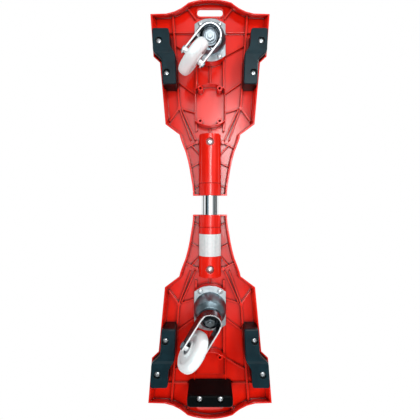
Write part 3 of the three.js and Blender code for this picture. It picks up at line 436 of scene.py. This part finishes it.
# Oval stickers
# Vinyl film printed in full colour under a clear gloss coat, stuck in the middle of each field.
# Amber at the outer end and red-orange near the neck, with yellow tongues licking in from the rim.
SWAY_SCALE, SWAY_REACH, TIP_POWER, TONGUE_BLEND = 2.2, 1.1, 1.7, 0.35
SHORT_AT, LONG_AT, SHORTEST, LONGEST = 0.75, -0.8, 0.05, 0.5
FLAME_STARTS, FLAME_FULL, HEART_STARTS, HEART_FULL = 0.985, 1.0, 1.06, 1.2

# Two rows of tongues round the rim: how many there are, how they lean and where they start.
TONGUE_ROWS = ((13, 0.9, 0.0), (8, -1.3, 0.4))
for end, sign in ENDS.items():
    vinyl, tree, place, shader = principled(
        f"vinyl film, printed with flames, {end}", "#F08A1E", 0.24, IOR=1.5)
    shape = node(tree, "ShaderNodeMapping", {
        "Vector": place, "Location": (0, -sign * (NECK_END + OVAL_STATION), 0)}).outputs[0]
    shape = node(tree, "ShaderNodeVectorMath", {
        0: shape, 1: (1 / OVAL_HALF_WIDTH, sign / OVAL_HALF_LENGTH, 0)}, operation="MULTIPLY").outputs[0]
    axes = node(tree, "ShaderNodeSeparateXYZ", {0: shape}).outputs

    # The ground colour runs from the neck to the outer end.
    ground = node(tree, "ShaderNodeValToRGB", {
        "Fac": node(tree, "ShaderNodeMapRange", {
            "Value": axes["Y"], "From Min": -1, "From Max": 1}).outputs[0]})
    stops = ground.color_ramp.elements
    stops[0].position, stops[0].color = 0.05, hex_colour("#E2461C")
    stops[1].position, stops[1].color = 0.95, hex_colour("#EFB428")
    stops.new(0.35).color = hex_colour("#EC5E20")
    stops.new(0.62).color = hex_colour("#F28A1C")

    # The tongues are points that sway round the rim, longer towards the neck.
    turn = node(tree, "ShaderNodeMath", {0: axes["X"], 1: axes["Y"]}, operation="ARCTAN2").outputs[0]
    sway = node(tree, "ShaderNodeTexNoise", {
        "Vector": shape, "Scale": SWAY_SCALE, "Detail": 1}).outputs["Fac"]
    swayed = node(tree, "ShaderNodeMath", {
        0: sway, 1: SWAY_REACH, 2: turn}, operation="MULTIPLY_ADD").outputs[0]
    reach = node(tree, "ShaderNodeVectorMath", {0: shape}, operation="LENGTH").outputs["Value"]
    tongues = []
    for count, lean, start in TONGUE_ROWS:
        beat = node(tree, "ShaderNodeMath", {
            0: swayed, 1: count / math.tau, 2: start}, operation="MULTIPLY_ADD").outputs[0]
        beat = node(tree, "ShaderNodeMath", {
            0: reach, 1: lean, 2: beat}, operation="MULTIPLY_ADD").outputs[0]
        tip = node(tree, "ShaderNodeMath", {0: beat, 1: 0.5}, operation="PINGPONG").outputs[0]
        tip = node(tree, "ShaderNodeMath", {0: tip, 1: 2}, operation="MULTIPLY").outputs[0]
        tip = node(tree, "ShaderNodeMath", {0: tip, 1: TIP_POWER}, operation="POWER").outputs[0]
        tongues.append(tip)
    tongue = node(tree, "ShaderNodeMath", {
        0: tongues[0], 1: tongues[1]}, operation="MULTIPLY").outputs[0]
    tongue = node(tree, "ShaderNodeMath", {
        0: tongues[0], 1: tongue, 2: TONGUE_BLEND}, operation="SMOOTH_MAX").outputs[0]
    length = node(tree, "ShaderNodeMapRange", {
        "Value": axes["Y"], "From Min": SHORT_AT, "From Max": LONG_AT,
        "To Min": SHORTEST, "To Max": LONGEST}).outputs[0]
    edge = node(tree, "ShaderNodeMath", {0: tongue, 1: length}, operation="MULTIPLY").outputs[0]
    depth = node(tree, "ShaderNodeMath", {0: reach, 1: edge}, operation="ADD").outputs[0]
    flame = node(tree, "ShaderNodeMapRange", {
        "Value": depth, "From Min": FLAME_STARTS, "From Max": FLAME_FULL}).outputs[0]
    heart = node(tree, "ShaderNodeMapRange", {
        "Value": depth, "From Min": HEART_STARTS, "From Max": HEART_FULL}).outputs[0]
    tongue_colour = node(tree, "ShaderNodeMix", {
        0: heart, 6: hex_colour("#F2C21C"), 7: hex_colour("#F0A020")}, data_type="RGBA").outputs[2]
    print_colour = node(tree, "ShaderNodeMix", {
        0: flame, 6: ground.outputs["Color"], 7: tongue_colour}, data_type="RGBA").outputs[2]
    tree.links.new(print_colour, shader.inputs["Base Color"])
    sticker = dressed_copy(f"{end}_oval_sticker", "vinyl", 0.15, 1)
    finished(sticker, f"{end}_board", vinyl, "printed_vinyl", f"{end}_oval_sticker")

# Neck stickers
# Pairs of near-black vinyl strips, stuck on the neck of each deck, under a clear gloss coat.
# Flame licks rise from the outer edge, orange at the wide end and yellow at the narrow end.
LICK_STEP, LICK_LEAN, WAVE_SCALE, WAVE_REACH = 13 * MM, 0.85, 60, 12 * MM
STICKER_INNER, STICKER_OUTER, STICKER_SLOPE = 7.6 * MM, 12.9 * MM, 0.19
HEAT_STARTS, HEAT_FULL = 40 * MM, 120 * MM
LICK_FOOT, LICK_TIP, LICK_WIDTH, BLUR_STARTS, BLUR_FULL = 0.1, 0.72, 0.38, -0.01, 0.02
vinyl, tree, place, shader = principled(
    "vinyl film, printed with licks on black", "#11181C", 0.24, IOR=1.5)
along = node(tree, "ShaderNodeVectorMath", {0: place}, operation="ABSOLUTE").outputs[0]
axes = node(tree, "ShaderNodeSeparateXYZ", {0: along}).outputs
outer = node(tree, "ShaderNodeMath", {
    0: axes["Y"], 1: STICKER_SLOPE, 2: STICKER_OUTER}, operation="MULTIPLY_ADD").outputs[0]
width = node(tree, "ShaderNodeMath", {0: outer, 1: STICKER_INNER}, operation="SUBTRACT").outputs[0]
inward = node(tree, "ShaderNodeMath", {0: outer, 1: axes["X"]}, operation="SUBTRACT").outputs[0]
share = node(tree, "ShaderNodeMath", {0: inward, 1: width}, operation="DIVIDE").outputs[0]
wave = node(tree, "ShaderNodeTexNoise", {
    "Vector": along, "Scale": WAVE_SCALE, "Detail": 0.5}).outputs["Fac"]
wave = node(tree, "ShaderNodeMath", {0: wave, 1: WAVE_REACH}, operation="MULTIPLY").outputs[0]
lick = node(tree, "ShaderNodeMath", {
    0: inward, 1: LICK_LEAN, 2: axes["Y"]}, operation="MULTIPLY_ADD").outputs[0]
lick = node(tree, "ShaderNodeMath", {0: lick, 1: wave}, operation="ADD").outputs[0]
lick = node(tree, "ShaderNodeMath", {0: lick, 1: 1 / LICK_STEP}, operation="MULTIPLY").outputs[0]
lick = node(tree, "ShaderNodeMath", {0: lick, 1: 0.5}, operation="PINGPONG").outputs[0]
thin = node(tree, "ShaderNodeMapRange", {
    "Value": share, "From Min": LICK_FOOT, "From Max": LICK_TIP,
    "To Min": LICK_WIDTH, "To Max": 0}).outputs[0]
inside = node(tree, "ShaderNodeMath", {0: thin, 1: lick}, operation="SUBTRACT").outputs[0]
mask = node(tree, "ShaderNodeMapRange", {
    "Value": inside, "From Min": BLUR_STARTS, "From Max": BLUR_FULL}).outputs[0]
heat = node(tree, "ShaderNodeMapRange", {
    "Value": axes["Y"], "From Min": HEAT_STARTS, "From Max": HEAT_FULL}).outputs[0]
fire = node(tree, "ShaderNodeMix", {
    0: heat, 6: hex_colour("#F4D22C"), 7: hex_colour("#F2802A")}, data_type="RGBA").outputs[2]
print_colour = node(tree, "ShaderNodeMix", {
    0: mask, 6: hex_colour("#10171B"), 7: fire}, data_type="RGBA").outputs[2]
tree.links.new(print_colour, shader.inputs["Base Color"])
for end in ENDS:
    for side in "ab":
        name = f"{end}_neck_sticker_{side}"
        finished(dressed_copy(name, "vinyl", 0.15, 1), f"{end}_board", vinyl, "dark_printed_vinyl", name)

# Torsion tube
# Drawn steel tube, 35 mm across, ground, polished and chromed. It sits fast in the rear housing, and
# the front housing turns on it. The chrome is a near mirror with faint cloudy wear.
chrome, tree, place, shader = principled("steel tube, polished and chromed", "#DFE3E5", 0.07, 1)
worn_gloss(tree, place, shader, 0.05, 0.12, 20)
tube = dressed_copy("torsion_tube", "chromed", 0.4, 2, 40)
finished(tube, "rear_board", chrome, "chromed_tube", "torsion_tube")

# Torsion bar and the tube's sleeves
# A bar of spring steel inside the tube, phosphated to a patchy dull grey, and two sleeves of black
# nylon, moulded with a fine grain, that the tube sits and turns in.
spring_steel, tree, place, shader = principled("spring steel, phosphated", "#5C6266", 0.4, 1)
worn_gloss(tree, place, shader, 0.34, 0.5, 8)
black_nylon, tree, place, shader = principled(
    "nylon, moulded, black", "#0B0D0E", 0.5, **{"IOR": 1.53, "Specular IOR Level": 0.05})
tree.links.new(mottled(tree, place, "#040809", "#080D0E", 18), shader.inputs["Base Color"])
relief(tree, place, shader, 0.8, 0.012, 1.4)
for name, material in (
    ("torsion_bar", spring_steel), ("rear_tube_sleeve", black_nylon), ("front_tube_bush", black_nylon),
):
    cad[name].data.materials.clear()
    cad[name].data.materials.append(material)

# Housing label
# Coated paper, bare, wrapped round the underside of the rear housing.
# The coat gives a soft sheen over a slightly cloudy white.
label_paper, tree, place, shader = principled("coated paper, white", "#CCD7D9", 0.4, IOR=1.5)
tree.links.new(mottled(tree, place, "#C6D2D4", "#D2DBDC", 6), shader.inputs["Base Color"])
cad["rear_housing_label"].data.materials.clear()
cad["rear_housing_label"].data.materials.append(label_paper)

# Caster plates
# Pressed steel plates with arched ends, each screwed on to a pad of its deck with four screws.
# Bright zinc plating gives them a cool pale grey with a faint spangle.
zinc, tree, place, shader = principled("pressed steel, bright zinc plated", "#BCC5CA", 0.36, 1)
tree.links.new(mottled(tree, place, "#B3BCC1", "#C6CED2", 12), shader.inputs["Base Color"])
worn_gloss(tree, place, shader, 0.3, 0.42, 9)
relief(tree, place, shader, 4, 0.002)
for end in ENDS:
    name = f"{end}_caster_plate"
    finished(dressed_copy(name, "zinc", 0.6), f"{end}_board", zinc, "zinc_steel", name)

# Swivel heads and bearings
# Deep drawn steel cups, rolled in at the lip over the swivel bearing's ring.
# Dark nickel gives them a blue grey that blurs what it reflects.
dark_nickel, tree, place, shader = principled("deep drawn steel, dark nickel", "#7E919A", 0.4, 1)
worn_gloss(tree, place, shader, 0.36, 0.44, 20)
relief(tree, place, shader, 6, 0.002, 2)
for end in ENDS:
    for part, width in (("swivel_head", 0.9), ("swivel_bearing", 0.6)):
        name = f"{end}_{part}"
        finished(dressed_copy(name, "nickel", width, 3), f"{end}_board", dark_nickel, "grey_steel", name)

# Forks
# Pressed and folded from 3 mm steel, then chromed dark. Rings are pressed into the crown round the
# kingpin. The sheared edges are painted pale, a painted highlight against the darker faces.
RING_RADII, RING_RISE, RIM_START, RIM_FADE = (13.6 * MM, 17.2 * MM), 0.9 * MM, 20.3 * MM, 0.4 * MM
CROWN_AREA, FORK_CHROME, FORK_EDGE_HIGHLIGHT = 120 * MM ** 2, "#666F75", "#EEF3F5"

# Cosines that tell how a face looks along the pin or the axle.
STRAIGHT_ALONG, NEARLY_ALONG, SLANTED, ASIDE = 0.95, 0.9, 0.3, 0.5
joints = {joint["name"]: joint for joint in frame["joints"]}
fork_edge_highlight, tree, place, shader = principled("fork edge steel, painted highlight", FORK_EDGE_HIGHLIGHT, 0.5, 0.5)
tree.links.new(mottled(tree, place, "#E6EDF0", "#F4F7F8", 5), shader.inputs["Base Color"])
for end in ENDS:
    swivel, spin = joints[f"{end}_caster_swivel"], joints[f"{end}_wheel_spin"]
    pin, up, axle = Vector(swivel["pos_m"]), Vector(swivel["axis"]), Vector(spin["axis"])

    # Outside RIM_START, faces that look along the pin are the sheared edge of the folded arms, painted
    # pale as a painted highlight.
    pressed, tree, place, shader = principled(f"pressed steel, chromed, {end}", FORK_CHROME, 0.2, 1)
    worn_gloss(tree, place, shader, 0.16, 0.26, 9)
    relief(tree, place, shader, 5, 0.004)
    from_pin = node(tree, "ShaderNodeVectorMath", {
        0: place, 1: swivel["pos_m"]}, operation="SUBTRACT").outputs[0]
    from_pin = node(tree, "ShaderNodeVectorMath", {
        0: from_pin, 1: swivel["axis"]}, operation="CROSS_PRODUCT").outputs[0]
    radius = node(tree, "ShaderNodeVectorMath", {0: from_pin}, operation="LENGTH").outputs["Value"]
    flat_normal = node(tree, "ShaderNodeNewGeometry").outputs["True Normal"]
    faces_pin = node(tree, "ShaderNodeVectorMath", {
        0: flat_normal, 1: swivel["axis"]}, operation="DOT_PRODUCT").outputs["Value"]
    faces_pin = node(tree, "ShaderNodeMath", {0: faces_pin}, operation="ABSOLUTE").outputs[0]
    faces_pin = node(tree, "ShaderNodeMath", {
        0: faces_pin, 1: NEARLY_ALONG}, operation="GREATER_THAN").outputs[0]
    rim = node(tree, "ShaderNodeMapRange", {
        "Value": radius, "From Min": RIM_START, "From Max": RIM_START + RIM_FADE}).outputs[0]
    rim = node(tree, "ShaderNodeMath", {0: rim, 1: faces_pin}, operation="MULTIPLY").outputs[0]
    rim_highlight_colour = node(tree, "ShaderNodeMix", {
        0: rim, 6: hex_colour(FORK_CHROME), 7: hex_colour(FORK_EDGE_HIGHLIGHT)}, data_type="RGBA").outputs[2]
    tree.links.new(rim_highlight_colour, shader.inputs["Base Color"])
    rim_metal = node(tree, "ShaderNodeMapRange", {"Value": rim, "To Min": 1, "To Max": 0.5}).outputs[0]
    tree.links.new(rim_metal, shader.inputs["Metallic"])

    # The rings lie half sunk in the underside of the crown.
    fork = dressed_copy(f"{end}_fork", "chromed", 0)
    facing_down = [face for face in fork.data.polygons if face.normal.dot(up) < -STRAIGHT_ALONG]
    under = max(facing_down, key=lambda face: face.area)
    ring_place = pin + up * up.dot(under.center - pin)
    for radius_m in RING_RADII:
        bpy.ops.mesh.primitive_torus_add(
            major_radius=radius_m, minor_radius=RING_RISE, major_segments=48, minor_segments=8,
            location=ring_place, rotation=up.to_track_quat("Z", "Y").to_euler())
        ring = bpy.context.object
        bpy.ops.object.shade_smooth()
        choose(fork)
        ring.select_set(True)
        bpy.ops.object.join()
    finished(fork, f"{end}_swivel_fork", pressed, "zinc_steel", f"{end}_fork")
    # The arms' edge faces get the second material, a pale painted highlight.
    fork.data.materials.append(fork_edge_highlight)
    for face in fork.data.polygons:
        along_pin = abs(face.normal.dot(up))
        crown = face.area > CROWN_AREA and along_pin > STRAIGHT_ALONG
        on_ring = (face.center - ring_place).length < RIM_START
        edge_on = abs(face.normal.dot(axle)) < ASIDE and along_pin > SLANTED
        if edge_on and not crown and not on_ring:
            face.material_index = 1

# Kingpins and axles
# Turned and threaded steel. Kingpins and their nuts are phosphated, which leaves a dull grey sheen.
# Axle bolts and their nuts have the dark nickel of the swivel heads.
grey_steel, tree, place, shader = principled("turned steel, phosphated grey", "#8A9499", 0.42, 1)
worn_gloss(tree, place, shader, 0.36, 0.48, 4)
relief(tree, place, shader, 2, 0.002, 1)
for end in ENDS:
    for part, body, finish in (
        ("axle_bolt", "swivel_fork", dark_nickel), ("axle_nut", "swivel_fork", dark_nickel),
        ("kingpin", "board", grey_steel), ("kingpin_nut", "board", grey_steel),
    ):
        name = f"{end}_{part}"
        finished(dressed_copy(name, "zinc", 0), f"{end}_{body}", finish, "zinc_steel", name)

# Wheels
# Cast polyurethane, 76 mm across, with dished sides and a seat for a bearing in each.
# It is off white with a faint green cast and a soft sheen.
urethane, tree, place, shader = principled(
    "polyurethane, cast, off white", "#E8F0EE", 0.5, **{"IOR": 1.5, "Specular IOR Level": 0.3})
tree.links.new(mottled(tree, place, "#E9F4F6", "#F1F8FA", 16), shader.inputs["Base Color"])
for end in ENDS:
    name = f"{end}_wheel"
    wheel = dressed_copy(name, "tyre", 0.9, 3, 40)
    finished(wheel, f"{end}_wheel_set", urethane, "white_urethane", name)

# Wheel bearings
# Ball bearings of 8 by 22 by 7 mm, pressed into both sides of each wheel.
# Ground steel mirrors more sharply than the plated pieces round it.
bearing_steel, tree, place, shader = principled("bearing steel, ground", "#A9B1B6", 0.22, 1)
worn_gloss(tree, place, shader, 0.16, 0.3, 5)
for end in ENDS:
    for side in ("left", "right"):
        name = f"{end}_wheel_bearing_{side}"
        ring = dressed_copy(name, "ring", 0.4)
        finished(ring, f"{end}_wheel_set", bearing_steel, "grey_steel", name)

# Side bumpers
# Black rubber blocks of S shape, compression moulded with rounded edges and a step at the bend, each
# held by two screws. The level faces are a satin grey, and the side walls are painted near black, a
# painted shade.
WALL_SHADE_FULL, WALL_SHADE_GONE = 0.3, 0.8
black_rubber, tree, place, shader = principled(
    "rubber, compression moulded, black", "#0F2228", 0.42, **{"IOR": 1.52, "Specular IOR Level": 0.22})
facing = node(tree, "ShaderNodeTexCoord").outputs["Normal"]
facing = node(tree, "ShaderNodeSeparateXYZ", {0: facing}).outputs["Z"]
facing = node(tree, "ShaderNodeMath", {0: facing}, operation="ABSOLUTE").outputs[0]
outside_wall_shade = node(tree, "ShaderNodeMapRange", {
    "Value": facing, "From Min": WALL_SHADE_FULL, "From Max": WALL_SHADE_GONE}).outputs[0]
rubber = mottled(tree, place, "#0A222A", "#0F2B33", 25)
# Painted shade: the side walls, facing sideways, are painted near black.
rubber = node(tree, "ShaderNodeMix", {
    0: outside_wall_shade, 6: hex_colour("#010506"), 7: rubber}, data_type="RGBA").outputs[2]
tree.links.new(rubber, shader.inputs["Base Color"])
relief(tree, place, shader, 0.9, 0.012, 1.8)
for end in ENDS:
    for side in "ab":
        name = f"{end}_bumper_{side}"
        bumper = dressed_copy(name, "rubber", 1.2, 3)
        finished(bumper, f"{end}_board", black_rubber, "black_rubber", name)

# Tail block
# A block of moulded black nylon that takes the scrapes under the tail, held by two screws.
# The two long ribs of the pad end short of it.
RIB_END_GAP, FLOOR_RISE, CUT_DEPTH = 11 * MM, 21.5 * MM, 26.5 * MM


def cut_away(obj, cutter):
    """Cuts one object out of another and removes it."""
    choose(obj)
    cut = obj.modifiers.new("recess", "BOOLEAN")
    cut.operation, cut.object, cut.solver = "DIFFERENCE", cutter, "EXACT"
    bpy.ops.object.modifier_apply(modifier="recess")
    bpy.data.objects.remove(cutter)


block = dressed_copy("tail_block", "nylon", 1.4, 3)
finished(block, "rear_board", black_nylon, "black_nylon", "tail_block")
low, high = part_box("tail_block")
bpy.ops.mesh.primitive_cube_add(
    size=1, scale=(high.x - low.x, RIB_END_GAP, CUT_DEPTH),
    location=(0, low.y - RIB_END_GAP / 2, PAD_HEIGHT + FLOOR_RISE - CUT_DEPTH / 2))
cut_away(decks["rear"], bpy.context.object)

# Screws and clamp bolts
# Screws with domed heads and a cross recess, which hold plates, bumpers and tail block. The two clamp
# bolts have a six-sided socket, and hold the torsion bar in the housings. All are turned steel, zinc
# plated, which gives them a silvery haze. The recesses are measured in millimetres.
CROSS_REACH, CROSS_WIDTH, CROSS_DEPTH, SOCKET_RADIUS = 4.8, 0.9, 1.6, 3
turned_zinc, tree, place, shader = principled("turned steel, zinc plated", "#DCE3E6", 0.42, 0.85)
worn_gloss(tree, place, shader, 0.36, 0.48, 4)
relief(tree, place, shader, 2, 0.002, 1)
screws = {}
for end in ENDS:
    names = [f"{end}_caster_screw_{i}" for i in range(1, 5)]
    names += [f"{end}_bumper_screw_{side}_{leg}" for side in "ab" for leg in ("inner", "outer")]
    names += ["tail_block_screw_a", "tail_block_screw_b"] if end == "rear" else []
    screws.update({name: f"{end}_board" for name in names + [f"{end}_clamp_bolt"]})
for name, board in screws.items():
    low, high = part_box(name)
    head = Vector(((low.x + high.x) / 2, (low.y + high.y) / 2, low.z))
    screw = dressed_copy(name, "zinc", 0.3, 2, 50)
    if "clamp" in name:
        bpy.ops.mesh.primitive_cylinder_add(
            vertices=6, radius=SOCKET_RADIUS * MM, depth=2 * CROSS_DEPTH * MM, location=head)
        cut_away(screw, bpy.context.object)
    else:
        for reach, width in ((CROSS_REACH, CROSS_WIDTH), (CROSS_WIDTH, CROSS_REACH)):
            bpy.ops.mesh.primitive_cube_add(
                size=MM, location=head, scale=(reach, width, 2 * CROSS_DEPTH))
            cut_away(screw, bpy.context.object)
    finished(screw, board, turned_zinc, "zinc_steel", name)
